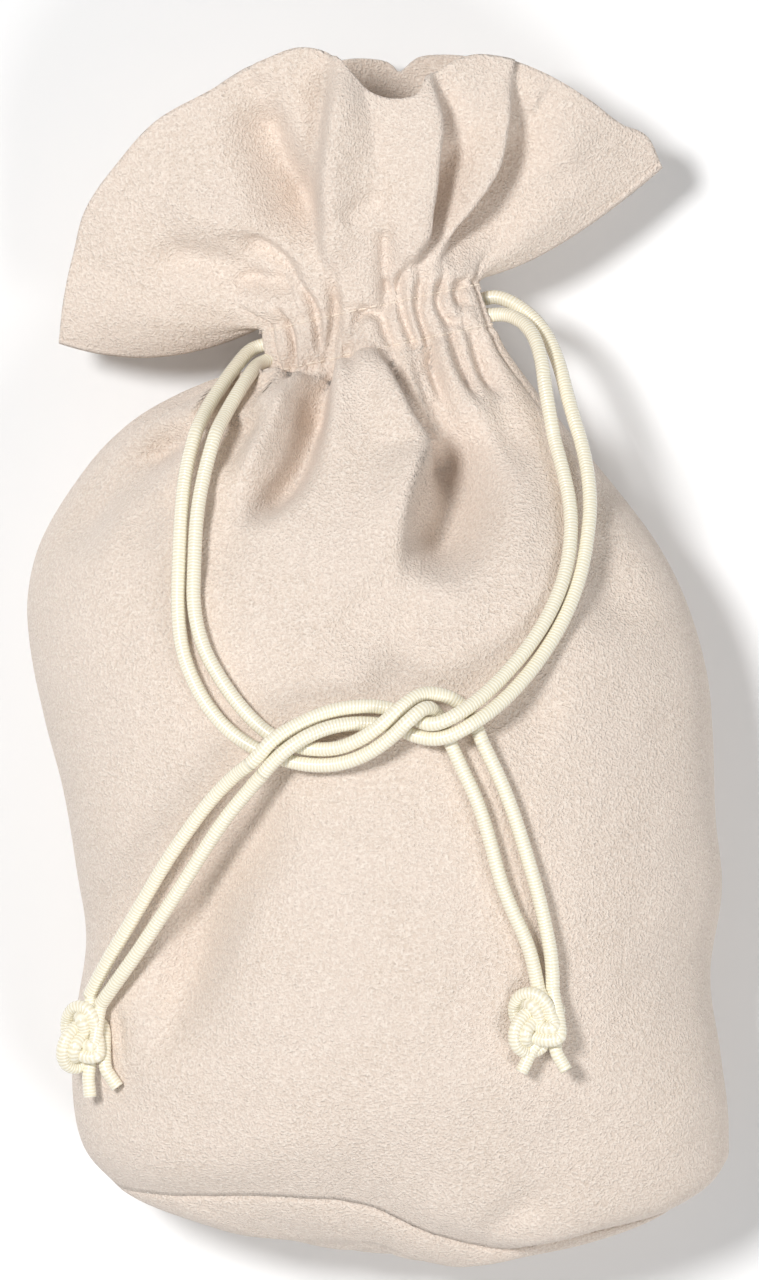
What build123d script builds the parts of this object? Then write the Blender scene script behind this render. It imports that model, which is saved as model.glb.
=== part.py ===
"""Drawstring gift pouch lying on its back, millimetres.

+X is to the pouch's right, +Y runs from the base towards the open header, +Z is up.
The origin is on the resting surface, under the middle of the pouch's outline.
"""
from math import cos, radians, sin, tan
import os

from build123d import *

# Cloth
CLOTH = 1.6                 # wall: brushed cloth with its turned-in layer
SEAM_Z = 28.0               # height of both side seams above the resting surface
ALLOWANCE = 6.0             # width of the seam allowances inside the bag
ALLOWANCE_THICK = 1.6

# Bag outline: (y, left edge x, right edge x, crown height, turn towards the tilted neck)
BAG_STATIONS = [
    (-127.0, -6.0, 36.0, 37.0, 0.0),
    (-123.0, -27.0, 52.0, 42.0, 0.0),
    (-115.5, -46.0, 68.0, 50.5, 0.0),
    (-108.0, -56.0, 73.0, 58.0, 0.0),
    (-92.0, -64.0, 73.5, 67.0, 0.0),
    (-62.0, -62.5, 71.0, 72.0, 0.0),
    (-28.0, -67.0, 70.5, 72.5, 0.0),
    (0.0, -73.3, 68.0, 70.0, 0.0),
    (22.0, -72.5, 58.5, 66.0, 2.0),
    (39.5, -65.5, 41.5, 59.0, 5.5),
    (51.0, -58.0, 32.5, 51.0, 9.0),
]
BASE_Y = -115.5             # plane of the seam between the panels and the base
BASE_LEAN = 4.0             # degrees that this plane leans back
SMALLEST = 1.5              # least half size of a cross-section inside the base

# Gathered neck, in its own frame: x across, y towards the header, z up
NECK_CENTRE = (-0.75, 69.0)
NECK_TILT = 12.5
NECK_WIDTH = 48.0
NECK_THICK = 27.0
CASING_LOW = -6.0           # where the bag ends and the casing starts
CASING_HIGH = 5.0
CHANNEL_WIDTH = 7.2         # along the neck, holds the two cords side by side
CHANNEL_OUTER = (43.6, 23.2)
CHANNEL_INNER = (34.4, 14.0)
MOUTH_HOLE = (28.0, 9.0)    # what the gathers leave open
STITCH_THREAD = 0.4
EXIT_HALF_HEIGHT = 6.8      # of the gap in each side seam where the cords come out
EXIT_START = 18.5           # from the middle of the neck

# Header ruffle, in the neck's frame
HEADER_LOW = 5.6
HEADER_FOLD = (5.0, 7.0)    # y and z of the line that the header folds about
HEADER_LIFT = 30.0          # degrees of that fold
HEADER_STATIONS = [         # y, half width, half height
    (5.6, 24.0, 13.5),
    (8.0, 44.0, 15.0),
    (12.0, 59.0, 17.0),
    (18.0, 67.0, 19.5),
    (36.0, 69.0, 22.0),
    (62.0, 69.0, 23.5),
]
HEADER_TIP_LEFT = (-66.0, 12.0)
HEADER_TIP_RIGHT = (66.5, 19.0)
HEADER_TOP = (0.0, 57.5)

# Drawstrings
CORD = 3.0
CORD_IN_CASING = (39.0, 18.6)   # loop inside the channel, centre to centre
CORD_PITCH = 3.6                # between the two cords in the channel
LEFT_LANE = CORD_PITCH / 2
RIGHT_LANE = -CORD_PITCH / 2

# Free strands of the two drawstrings, from the casing through the half knot to the end knots
STRANDS = {
    "left_outer_exit_strand": [
        (-27.0, 64.2, 31.6), (-29.8, 60.6, 37.2), (-32.6, 56.6, 43.0), (-35.6, 51.8, 48.6),
        (-37.6, 47.4, 54.0),
    ],
    "left_inner_exit_strand": [
        (-25.4, 60.8, 35.6), (-26.4, 59.4, 40.8), (-28.8, 55.6, 46.2), (-31.6, 50.6, 51.4),
        (-33.6, 46.6, 56.6),
    ],
    "right_outer_exit_strand": [
        (25.2, 75.6, 27.6), (30.2, 73.2, 29.4), (35.2, 68.2, 33.0), (38.0, 61.4, 37.4),
        (39.8, 53.8, 41.8), (41.6, 47.4, 45.2),
    ],
    "right_inner_exit_strand": [
        (27.8, 71.6, 32.0), (32.0, 68.6, 36.8), (34.2, 62.8, 41.6), (35.0, 55.6, 45.0),
        (36.4, 47.6, 47.6),
    ],
    "left_outer_strand": [
        (-38.4, 45.0, 55.4), (-40.2, 37.6, 58.6), (-41.0, 28.4, 61.8), (-41.4, 18.4, 64.2),
        (-41.6, 9.4, 65.6), (-40.8, 0.6, 67.2), (-37.6, -7.4, 68.6), (-33.4, -13.6, 70.0),
        (-28.4, -18.0, 71.4), (-22.6, -21.0, 72.8), (-15.4, -23.0, 74.0), (-8.4, -23.0, 75.4),
        (-2.6, -21.0, 77.0), (2.4, -17.6, 78.6), (6.4, -13.6, 80.0), (10.0, -10.6, 78.6),
        (12.2, -12.2, 74.8), (13.8, -15.4, 74.6),
    ],
    "left_inner_strand": [
        (-34.4, 44.2, 58.0), (-36.4, 36.8, 60.4), (-37.8, 28.4, 63.0), (-38.2, 18.4, 65.0),
        (-38.4, 9.6, 66.8), (-36.4, 1.2, 68.4), (-32.0, -6.4, 70.0), (-27.2, -12.6, 71.4),
        (-22.0, -17.2, 72.8), (-15.8, -19.6, 74.0), (-9.0, -19.8, 75.6), (-3.8, -17.8, 77.2),
        (0.6, -14.8, 78.4), (4.6, -11.0, 78.4), (9.2, -7.8, 76.2), (14.6, -8.6, 74.6),
        (18.4, -11.4, 73.4), (20.4, -15.2, 73.6),
    ],
    "right_outer_strand": [
        (42.4, 45.0, 46.2), (43.8, 38.6, 49.6), (44.4, 31.0, 53.2), (43.6, 23.6, 56.8),
        (42.2, 16.2, 60.2), (39.2, 8.2, 63.8), (34.8, 0.6, 67.4), (30.2, -5.4, 71.0),
        (24.8, -10.8, 74.6), (19.4, -14.6, 77.4), (13.8, -17.6, 77.4), (8.6, -17.4, 75.6),
        (3.2, -15.0, 75.0), (-2.2, -14.2, 75.0), (-8.4, -14.6, 76.0), (-14.2, -16.6, 77.0),
        (-18.8, -19.6, 77.0), (-22.0, -22.6, 76.2),
    ],
    "right_inner_strand": [
        (36.8, 45.0, 47.8), (38.6, 38.6, 51.2), (40.2, 31.0, 54.8), (40.2, 23.4, 58.4),
        (38.8, 15.8, 61.8), (35.6, 8.2, 65.4), (31.2, 1.4, 68.8), (26.4, -4.2, 72.0),
        (21.4, -9.0, 75.4), (16.4, -12.6, 78.0), (11.0, -15.0, 78.2), (6.4, -12.8, 75.0),
        (1.2, -10.8, 74.6), (-5.0, -10.8, 75.0), (-11.0, -12.0, 75.4), (-17.2, -14.8, 75.8),
        (-22.0, -17.8, 76.4), (-24.6, -21.0, 76.0),
    ],
    "left_cord_outer_tail": [
        (15.1, -18.7, 74.4), (17.6, -24.2, 74.2), (20.6, -30.4, 74.0), (23.2, -38.6, 73.6),
        (25.2, -46.6, 73.4), (27.8, -53.2, 72.8), (30.8, -59.4, 71.8), (32.4, -65.0, 71.0),
        (33.2, -69.6, 70.0),
    ],
    "left_cord_inner_tail": [
        (21.7, -18.6, 73.6), (24.8, -24.8, 73.2), (27.8, -32.2, 73.0), (30.6, -41.0, 72.4),
        (33.2, -49.8, 72.0), (35.0, -57.6, 71.2), (36.2, -64.4, 70.6), (36.2, -69.6, 69.8),
    ],
    "right_cord_outer_tail": [
        (-23.8, -24.8, 75.4), (-26.8, -28.2, 73.0), (-31.4, -33.6, 70.6), (-36.2, -40.8, 67.8),
        (-40.8, -48.2, 65.0), (-46.0, -56.0, 61.8), (-50.8, -63.2, 58.6), (-55.0, -69.0, 55.2),
        (-58.2, -73.6, 51.6),
    ],
    "right_cord_inner_tail": [
        (-26.8, -23.0, 75.0), (-29.6, -25.0, 72.4), (-34.4, -29.8, 69.4), (-39.4, -36.4, 66.4),
        (-44.6, -44.0, 63.4), (-49.0, -51.6, 60.2), (-53.0, -58.4, 57.4), (-57.0, -64.8, 54.2),
        (-60.4, -71.6, 50.4),
    ],
}
LIMP = 0.45                 # share of the shorter run that each bend takes up

# End knots: centre, half sizes along and across the cord, direction of the cord in plan
KNOTS = {
    "left_cord_knot": ((33.8, -76.4, 70.8), (6.6, 6.4, 3.6), -90.0),
    "right_cord_knot": ((-60.8, -80.4, 50.6), (7.0, 4.6, 4.4), -98.0),
}
CUT_ENDS = {                # where each cut end leaves its knot, and its direction in plan
    "left_cord_cut_ends": [((36.8, -83.4, 70.0), -60.0), ((31.6, -83.6, 70.0), -115.0)],
    "right_cord_cut_ends": [((-60.6, -88.2, 49.4), -85.0), ((-57.0, -86.8, 51.2), -55.0)],
}
CUT_END_LENGTH = 4.5


def neck_to_bag(x, y, z):
    """Turn a point of the neck's frame into the pouch's own frame."""
    tilt = radians(NECK_TILT)
    return (
        NECK_CENTRE[0] + x * cos(tilt) - y * sin(tilt),
        NECK_CENTRE[1] + x * sin(tilt) + y * cos(tilt),
        SEAM_Z + z,
    )


def place_on_neck(shape):
    """Move a shape built in the neck's frame to its place on the pouch."""
    return Pos(NECK_CENTRE[0], NECK_CENTRE[1], SEAM_Z) * Rot(0, 0, NECK_TILT) * shape


def cross_section(centre, half_width, half_height, turn):
    """An upright ellipse across the pouch, turned about Z."""
    across = (cos(radians(turn)), sin(radians(turn)), 0)
    along = (-sin(radians(turn)), cos(radians(turn)), 0)
    plane = Plane(origin=centre, x_dir=across, z_dir=along)
    return plane * Ellipse(half_width, half_height)


def block(low, high):
    """A box between two corners."""
    size = [b - a for a, b in zip(low, high)]
    middle = [(a + b) / 2 for a, b in zip(low, high)]
    return Pos(*middle) * Box(*size)


def bag_body(inset):
    """The whole bag as one solid, its surface moved inwards by inset."""
    sections = []
    for y, left, right, crown, turn in BAG_STATIONS:
        # the end of the base is drawn in as well, so that its wall keeps its thickness
        near_base = max(0.0, BASE_Y - y) / (BASE_Y - BAG_STATIONS[0][0])
        centre = ((left + right) / 2, y + inset * near_base, SEAM_Z)
        half_width = max(SMALLEST, (right - left) / 2 - inset * (1 + near_base))
        half_height = max(SMALLEST, crown - SEAM_Z - inset)
        sections.append(cross_section(centre, half_width, half_height, turn))
    neck = neck_to_bag(0, CASING_LOW, 0)
    sections.append(
        cross_section(neck, NECK_WIDTH / 2 - inset, NECK_THICK / 2 - inset, NECK_TILT)
    )
    bag_side = place_on_neck(block((-200, -300, -100), (200, CASING_LOW, 100)))
    return loft(sections) & block((-200, -200, inset), (200, 200, 200)) & bag_side


def base_side(solid, front):
    """The part of a solid on one side of the base seam's plane."""
    half = block((-200, -300, -200), (200, 0, 200))
    if not front:
        half = block((-200, 0, -200), (200, 300, 200))
    return solid & (Pos(0, BASE_Y, SEAM_Z) * Rot(BASE_LEAN, 0, 0) * half)


def make_bag():
    """Front and back panels, the base panel and their seam allowances."""
    outer = bag_body(0)
    inner = bag_body(CLOTH)
    lining = bag_body(CLOTH + ALLOWANCE)
    wall = outer - inner
    panels = base_side(wall, front=False)
    above = block((-200, -200, SEAM_Z), (200, 200, 200))
    below = block((-200, -200, -10), (200, 200, SEAM_Z))

    fin = block(
        (-200, BASE_Y + 4, SEAM_Z - ALLOWANCE_THICK / 2), (0, 48, SEAM_Z + ALLOWANCE_THICK / 2)
    )
    inside_edge = inner - lining
    seam_slab = Pos(0, BASE_Y, SEAM_Z) * Rot(BASE_LEAN, 0, 0) * block(
        (-200, 0, -200), (200, ALLOWANCE_THICK, 200)
    )
    return {
        "front_panel": panels & above,
        "back_panel": panels & below,
        "base_panel": base_side(wall, front=True),
        "left_seam_allowance": inside_edge & fin,
        "right_seam_allowance": inside_edge & (Pos(200, 0, 0) * fin),
        "base_seam_allowance": inside_edge & seam_slab,
    }


def neck_slot(size, low, high):
    """A flat-sided round-ended block along the neck."""
    plane = Plane(origin=(0, low, 0), x_dir=(1, 0, 0), z_dir=(0, 1, 0))
    return extrude(plane * SlotOverall(size[0], size[1]), high - low)


def make_neck():
    """The casing in two halves, its two rows of stitching and the cords inside it."""
    ring = neck_slot((NECK_WIDTH, NECK_THICK), CASING_LOW, CASING_HIGH)
    ring -= neck_slot(MOUTH_HOLE, CASING_LOW - 1, CASING_HIGH + 1)
    middle = (CASING_LOW + CASING_HIGH) / 2
    low = middle - CHANNEL_WIDTH / 2
    high = middle + CHANNEL_WIDTH / 2
    channel = neck_slot(CHANNEL_OUTER, low, high) - neck_slot(CHANNEL_INNER, low, high)
    exits = block((-NECK_WIDTH, low, -EXIT_HALF_HEIGHT), (-EXIT_START, high, EXIT_HALF_HEIGHT))
    exits += block((EXIT_START, low, -EXIT_HALF_HEIGHT), (NECK_WIDTH, high, EXIT_HALF_HEIGHT))
    ring = ring - channel - exits

    thread = (NECK_WIDTH + 2 * STITCH_THREAD, NECK_THICK + 2 * STITCH_THREAD)
    row = neck_slot(thread, 0, STITCH_THREAD)
    row -= neck_slot((NECK_WIDTH, NECK_THICK), -1, 1)
    upper_half = block((-100, -100, 0), (100, 100, 100))
    lower_half = block((-100, -100, -100), (100, 100, 0))

    half_width = CORD_IN_CASING[0] / 2
    half_height = CORD_IN_CASING[1] / 2
    mouth = NECK_WIDTH / 2 + 0.2
    points = [
        (-mouth, 0, 3.2),
        (-half_width, 0, 4.2),
        (-half_width + 5.2, 0, half_height),
        (half_width, 0, half_height),
        (half_width, 0, -half_height),
        (-half_width + 5.2, 0, -half_height),
        (-half_width, 0, -4.2),
        (-mouth, 0, -3.2),
    ]
    loop = tube(FilletPolyline(*points, radius=[3.0, 4.5, 8.5, 8.5, 4.5, 3.0]))
    nodes = {
        "front_casing": ring & upper_half,
        "back_casing": ring & lower_half,
        "lower_casing_stitching": Pos(0, CASING_LOW + 1, 0) * row,
        "upper_casing_stitching": Pos(0, CASING_HIGH - 1, 0) * row,
        "left_cord_in_casing": Pos(0, middle + LEFT_LANE, 0) * loop,
        "right_cord_in_casing": Pos(0, middle + RIGHT_LANE, 0) * Rot(0, 0, 180) * loop,
    }
    return {name: place_on_neck(shape) for name, shape in nodes.items()}


def header_body(inset):
    """The flared ruffle as one solid, its surface moved inwards by inset."""
    sections = []
    for y, half_width, half_height in HEADER_STATIONS:
        centre = (0, y + inset, 0) if y > HEADER_LOW else (0, y, 0)
        sections.append(cross_section(centre, half_width - inset, half_height - inset, 0))
    return loft(sections)


def make_header():
    """Front and back walls of the ruffle, cut to the arc of its free edge."""
    rim = ThreePointArc(HEADER_TIP_LEFT, HEADER_TOP, HEADER_TIP_RIGHT)
    sides = Polyline(HEADER_TIP_RIGHT, (66.5, -10), (-66.0, -10), HEADER_TIP_LEFT)
    outline = extrude(make_face(rim + sides), 60, both=True)
    wall = (header_body(0) - header_body(CLOTH)) & outline

    # room above the fold line, so that the front wall can lift clear of the casing
    lean = HEADER_LIFT + 3
    room = Pos(0, HEADER_FOLD[0] + 0.4, HEADER_FOLD[1]) * Rot(-lean, 0, 0) * block(
        (-100, -60, 0), (100, 0, 60)
    )
    wall -= room
    nodes = {
        "front_header": wall & block((-100, -100, 0), (100, 100, 100)),
        "back_header": wall & block((-100, -100, -100), (100, 100, 0)),
    }
    return {name: place_on_neck(shape) for name, shape in nodes.items()}


def tube(path):
    """A round cord along a path."""
    section = Plane(origin=path @ 0, z_dir=path % 0) * Circle(CORD / 2)
    return sweep(section, path=path)


def bend_radii(points):
    """The largest bend that the runs either side of each corner allow."""
    radii = []
    for before, corner, after in zip(points, points[1:], points[2:]):
        first = Vector(*corner) - Vector(*before)
        second = Vector(*after) - Vector(*corner)
        turn = radians(first.get_angle(second))
        radii.append(LIMP * min(first.length, second.length) / tan(turn / 2))
    return radii


def make_strands():
    """The free strands, each a tube along its route."""
    nodes = {}
    for name, points in STRANDS.items():
        radii = bend_radii(points)
        path = FilletPolyline(*points, radius=radii)
        strand = tube(path)
        section_length = strand.volume / (Circle(CORD / 2).area * path.length)
        print(
            f"{name}: length {path.length:.1f}, radii {[round(r, 1) for r in radii]}, "
            f"volume over section times length {section_length:.4f}"
        )
        nodes[name] = strand
    return nodes


def make_knots():
    """The overhand knots at the tails' ends and the cut ends that they leave."""
    nodes = {}
    for name, (centre, half_sizes, direction) in KNOTS.items():
        along, across, up = half_sizes
        profile = make_face(
            ThreePointArc((-along, 0), (0, across), (along, 0)) + Line((along, 0), (-along, 0))
        )
        knot = revolve(profile, Axis.X, 360)
        knot = scale(knot, by=(1, 1, up / across))
        knot = Pos(*centre) * Rot(0, 0, direction) * knot
        nodes[name] = knot
    for name, ends in CUT_ENDS.items():
        stubs = []
        for start, direction in ends:
            stub = Rot(0, 90, 0) * Cylinder(
                CORD / 2, CUT_END_LENGTH, align=(Align.CENTER, Align.CENTER, Align.MIN)
            )
            stubs.append(Pos(*start) * Rot(0, 0, direction) * stub)
        nodes[name] = Compound(children=stubs)
    return nodes


def main():
    os.makedirs("parts", exist_ok=True)
    nodes = make_bag()
    nodes.update(make_neck())
    nodes.update(make_header())
    nodes.update(make_strands())
    nodes.update(make_knots())
    for name, shape in nodes.items():
        export_step(shape, f"parts/{name}.step")


main()
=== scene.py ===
import math

import bmesh
import bpy
import numpy as np
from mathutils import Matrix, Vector


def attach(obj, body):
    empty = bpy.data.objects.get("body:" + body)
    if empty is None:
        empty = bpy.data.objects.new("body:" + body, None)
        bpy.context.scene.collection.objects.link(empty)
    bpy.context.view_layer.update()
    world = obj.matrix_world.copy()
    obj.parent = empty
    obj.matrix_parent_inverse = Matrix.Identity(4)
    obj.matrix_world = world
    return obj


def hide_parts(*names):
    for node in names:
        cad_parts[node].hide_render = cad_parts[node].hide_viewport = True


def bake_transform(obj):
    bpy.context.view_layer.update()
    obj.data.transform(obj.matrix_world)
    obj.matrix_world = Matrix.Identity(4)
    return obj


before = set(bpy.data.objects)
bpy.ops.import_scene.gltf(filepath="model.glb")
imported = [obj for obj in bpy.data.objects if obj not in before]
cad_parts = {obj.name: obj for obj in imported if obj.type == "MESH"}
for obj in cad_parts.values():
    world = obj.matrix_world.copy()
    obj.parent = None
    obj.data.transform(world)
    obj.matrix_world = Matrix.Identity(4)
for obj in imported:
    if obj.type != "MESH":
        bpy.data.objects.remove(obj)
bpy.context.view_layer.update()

MM = 0.001

# ---------- shape of the cloth, in millimetres
# The frame is the model's own: x across, y from the base towards the ruffle, z up.

SEAM_Z = 28.0           # height of the side seams
CLOTH = 1.5             # thickness shown
FLOOR_GAP = 0.15        # the cloth stays this far above the floor

# The neck has its own frame, turned from the model's: across it, and along it towards the ruffle
NECK = np.array([-0.75, 69.0])
TILT = math.radians(12.5)
ACROSS = np.array([math.cos(TILT), math.sin(TILT)])
ALONG = np.array([-math.sin(TILT), math.cos(TILT)])
NECK_HALF_WIDTH = 23.5
NECK_HALF_HEIGHT = 13.0
NECK_FULLNESS = 0.8     # 1 would make its section an ellipse, and less makes it squarer
CASING_LOW = -6.0       # the casing's two edges, along the neck
CASING_HIGH = 5.0
STITCH_ROWS = (-5.0, 4.0)
CASING_MIDDLE = sum(STITCH_ROWS) / 2
EXIT_HALF_LENGTH = 3.2  # the slits at the casing's two ends, where the cords come out
EXIT_HALF_HEIGHT = 4.6

# Rings at the base seam and just above it: angle, x, y, z; 0 degrees is the right side seam
BASE_RING = [
    (0, 67, -113, 26), (25, 58, -118, 36), (45, 42, -122, 40), (60, 27, -125, 42), (75, 12, -121.5, 46),
    (90, -2, -115.5, 48.5), (110, -18, -113.5, 49), (135, -38, -114, 44), (160, -52, -112.5, 35),
    (180, -56, -111, 26), (225, -38, -116, 8), (270, 4, -119, 3), (315, 48, -117, 8), (360, 67, -113, 26),
]
SECOND_RING = [
    (0, 72, -109, 27), (25, 66, -114, 40), (45, 50, -119, 47), (60, 33, -123, 50), (75, 14, -117.5, 53),
    (90, -2, -110, 55), (110, -20, -108, 55.5), (135, -42, -109, 50), (160, -58, -106.5, 38),
    (180, -61, -105, 27), (225, -44, -110, 5), (270, 4, -112, 0.5), (315, 54, -111, 4), (360, 72, -109, 27),
]
# Body above them: left edge x and y, right edge x and y, crown height
STATIONS = [
    (-64.5, -92.0, 74.0, -101.0, 65.5), (-63.5, -75.0, 72.4, -85.0, 69.5),
    (-61.5, -60.0, 70.2, -68.0, 71.5), (-63.6, -45.0, 72.6, -50.0, 72.0),
    (-66.5, -28.0, 71.2, -34.0, 72.0), (-70.5, -13.0, 70.8, -18.0, 71.5),
    (-73.5, 2.0, 69.5, -4.0, 70.2), (-73.8, 13.0, 65.5, 10.0, 68.5),
    (-71.0, 24.0, 59.5, 22.5, 66.0), (-65.0, 34.5, 51.5, 33.5, 62.0),
    (-56.5, 45.0, 42.5, 44.5, 57.0), (-45.5, 53.0, 34.0, 55.0, 52.0),
    (-33.0, 58.0, 27.8, 63.0, 46.5),
]
FRONT_RIM = [           # free edge of the ruffle's front wall, from the right tip to the left tip
    (60.3, 102.7), (56.3, 109.8), (52.7, 111.1), (43.9, 117), (35.1, 122.2), (26.3, 125.4), (20, 125.8),
    (13.9, 123.1), (9.5, 119.9), (7.8, 117), (5, 116.2), (-1.3, 117.4), (-5.7, 121.4), (-10.1, 125.8),
    (-16.2, 127), (-23.3, 124.7), (-35.7, 117.8), (-46.2, 112.1), (-54.2, 103.7), (-62.2, 92.2),
    (-64.3, 85), (-66.6, 74), (-67.6, 65.7),
]
BACK_RIM = [
    *FRONT_RIM[:4], (35.1, 122.0), (26.3, 125.0), (19.1, 126.9), (13.9, 127.2), (8.6, 126.6),
    (4, 123.5), (2.3, 125.3), (-2, 126.4), (-5.7, 126.6), (-10.1, 126.2), (-16.2, 126.4),
    (-23.3, 124.2), *FRONT_RIM[16:],
]
CROWN_FULLNESS = 0.9    # exponents of the bag's section: its front, and where it lies
BED_FLATNESS = 4
RIM_Z = 22.0            # height of the free edge at its two tips
RIM_FRONT_RISE = 25.0
RIM_BACK_DROP = 9.0
RUFFLE_BULGE = (3.0, -4.0)  # of its front and its back wall, halfway to the free edge
RIGHT_EDGE_BOW = np.array([-1.5, -4.0])
LEFT_EDGE_BOW = np.array([0, -4.5])
EDGE_BOW_REACH = 0.5    # radians of the section on each side of an edge

# Folds: line, depth (below zero sinks), width on its left and on its right
BODY_FOLDS = [
    ([(-13.0, 58.5), (-13.4, 53), (-14.6, 46), (-17.4, 38.5), (-22.5, 32.5), (-31, 27)], -12.5, 3.2, 5),
    ([(-19.5, 58), (-21.0, 52), (-25, 44), (-31.5, 34)], 4.0, 3.5, 4.5),
    ([(-25.5, 51), (-28.5, 45), (-33.5, 37)], -4.2, 3, 4),
    ([(13.0, 49), (16.8, 41.8), (17.2, 34), (14.2, 25.5), (9.5, 14)], -15.5, 9, 6.5),
    ([(22, -122), (30, -116), (38, -112)], -2.0, 4, 4),
    ([(-39, 48), (-45, 45), (-51, 39.5), (-58.5, 32.5), (-64.5, 25), (-67.5, 17)], -4.4, 6, 5),
    ([(-39.5, 35), (-56, 23)], -2.4, 6, 6),
    ([(-33, 36), (-35.5, 32.5), (-33, 26.5), (-36.5, 18), (-38, 12)], -2.4, 7, 7),
    ([(-8, 11.5), (0.5, 5), (12.5, -2)], -3.0, 14, 14),
    ([(44.5, 26), (48.5, 15.5), (52, 3)], -3.4, 9, 9),
    ([(26, -8.5), (39.5, -15)], -2.2, 9, 9),
    ([(-20.5, -24), (-27.5, -36.5), (-36, -49), (-40, -61.5), (-43.5, -75.5), (-43.5, -90)], -8.5, 10, 6),
    ([(19, 64), (25, 56), (29, 46), (31, 36)], -2.6, 4, 4),
]
RUFFLE_FOLDS = [
    ([(-25, 117), (-22.5, 107), (-17, 94.5), (-11.8, 84)], -10.5, 5, 8),
    ([(-8, 90), (-2, 94.5), (3.8, 95.5)], -2.0, 3, 4),
    ([(1.5, 89), (1.7, 77.3)], -2.4, 1.8, 1.8),
    ([(18.5, 108), (14.8, 97), (10.6, 86)], -5.0, 3.5, 3),
    ([(33, 112), (29, 102), (22, 92), (13, 79.5)], -5.0, 8, 3),
    ([(-32, 76.2), (-24, 77), (-20, 76), (-18.6, 72)], -3.4, 2.4, 2.4),
    ([(-30, 87), (-23, 84), (-18.5, 80), (-16.2, 74)], -3.8, 2.0, 3.5),
    ([(-22, 79), (-31, 80.5), (-40, 82.5), (-52, 84)], -4.0, 5, 5),
    ([(43, 103), (32, 94), (20, 82)], -2.0, 4, 4),
    ([(-45, 99), (-34, 92), (-22, 88)], 2.2, 6, 6),
]
# Creases where one side of the cloth stands over the other: line from the ruffle downwards,
# height (above zero the left of the line is the lower side), reach on its left and on its right
BODY_CREASES = [
    (
        [
            (-6.5, 73), (-2.3, 68), (2.8, 59.3), (7.2, 51), (12.2, 43.2), (9.8, 38.6), (7.6, 32),
            (6, 23.8), (4, 12),
        ],
        6.6, 8, 9,
    ),
    ([(1.5, 72), (4.0, 67), (9.8, 56.5), (14.6, 48), (20, 38)], 2.0, 5, 2.5),
    ([(7.1, 70), (10.5, 60), (14, 53)], 1.5, 4, 2.5),
    ([(-9.0, 73), (-10.9, 57.1), (-11.8, 47), (-13.5, 39)], -3.0, 6, 5),
    ([(-16.5, 70), (-19, 57), (-24, 47)], -1.8, 5, 4),
    ([(-25, 51), (-35, 49.5), (-46, 46.5), (-57, 40)], 3.6, 6, 4),
]
RUFFLE_CREASES = [
    ([(-9.5, 124), (-11.5, 108), (-12.8, 97.4), (-12.4, 87.4), (-9.4, 77)], -4.8, 9, 9),
    ([(11.0, 122), (13.6, 112), (12.8, 103), (12.2, 93.2), (8.8, 84), (2.1, 76)], 4.8, 5, 10),
    ([(28.5, 122), (27.4, 111), (25.4, 101.6), (19.7, 92.4), (10.5, 78)], 4.2, 8, 5),
]
# Narrow valleys: those that run down into the bag have a line and a depth each, and those on the
# casing share one depth
TUCKS = [
    ([(-9.8, 67), (-10.2, 60), (-11.2, 51), (-12.8, 42)], -3.4),
    ([(-5.8, 66), (-5.6, 61), (-4.8, 56)], -1.7),
    ([(9.8, 67), (12.8, 59), (17, 50)], -1.9),
    ([(14.5, 69), (18.2, 61), (23, 53)], -3.4),
    ([(19, 69), (23, 61.5), (27.5, 54)], -3.4),
]
TUCK_WIDTHS = (1.2, 1.7)
CASING_VALLEYS = [
    [(-20.5, 71.5), (-18.2, 67), (-18.0, 61), (-19.4, 55)],
    [(-16.4, 77.3), (-13.4, 72.2), (-12.4, 64), (-12.6, 59.5)],
    [(-9.4, 79.8), (-8.8, 73.9), (-9.7, 64), (-10.6, 56), (-11.4, 48)],
    [(-5, 68), (-3.4, 71.8), (0.2, 71.2), (2.0, 67), (4.4, 62)],
    [(1.7, 79), (2.2, 74), (0.8, 70)],
    [(6.5, 82), (4.8, 77), (5.6, 71), (7.8, 65), (10.4, 58)],
    [(10.4, 79), (8.6, 74), (10.6, 66), (13.8, 58.5), (17.5, 51)],
    [(14.4, 79), (12.8, 74.2), (14.9, 70.2), (19.5, 69)],
    [(18.6, 79), (17.2, 75.5), (19.6, 72.5)],
]
CASING_VALLEY_DEPTH = -3.2
CASING_VALLEY_WIDTHS = (1.1, 1.6)
CASING_DEEPEST = -2.4   # no valley on the casing sinks below this
CREASE_STEP = 0.9       # half the width of the step from a crease's low side to its high side
FOLD_ENDS = (0.2, 0.62)  # shares of a fold's line: it is full between them and fades beyond
FOLD_START = 0.35       # share of its height at its first point
FOLD_SHARPNESS = 1.4

# Ridges gathered round the neck: how many, how sharp their valleys are, seed
FINE_GATHERS = (34, 0.75, 0.8)
MIDDLING_GATHERS = (17, 0.8, 2.1)
BROAD_GATHERS = (9, 1.0, 4.4)
LINING_GATHERS = (30, 0.8, 1.9)
FINE_HEIGHT = 0.5
MIDDLING_HEIGHT = 1.25
GROWTH_START = 5        # the middling gathers grow over this length beside the casing
BAG_BROAD_HEIGHT = 3.4
RUFFLE_BROAD_HEIGHT = 2.8
BROAD_IN_FRONT = 0.55   # less, because the front's main folds are drawn one by one
LOW_EDGE_RIDGE = 1.3    # rounds off the casing's lower edge in front
LOW_EDGE_REACH = 3.5
LOW_EDGE_FADE = (-12, -3)  # it sets in between these x
PUFF = 0.5              # how far the cords inside fill out the casing
PUFF_FULLNESS = 0.8
STITCH_SINK = 0.15
STITCH_SINK_REACH = 0.8
SEAM_RELIEF = 0.15      # share of the relief that is left at the side seams
SEAM_HOLD = 0.30        # sine of the angle from a seam where the relief is full
UPRIGHT_PUSH = 1.2      # added to the cloth's normals below the ruffle
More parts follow.
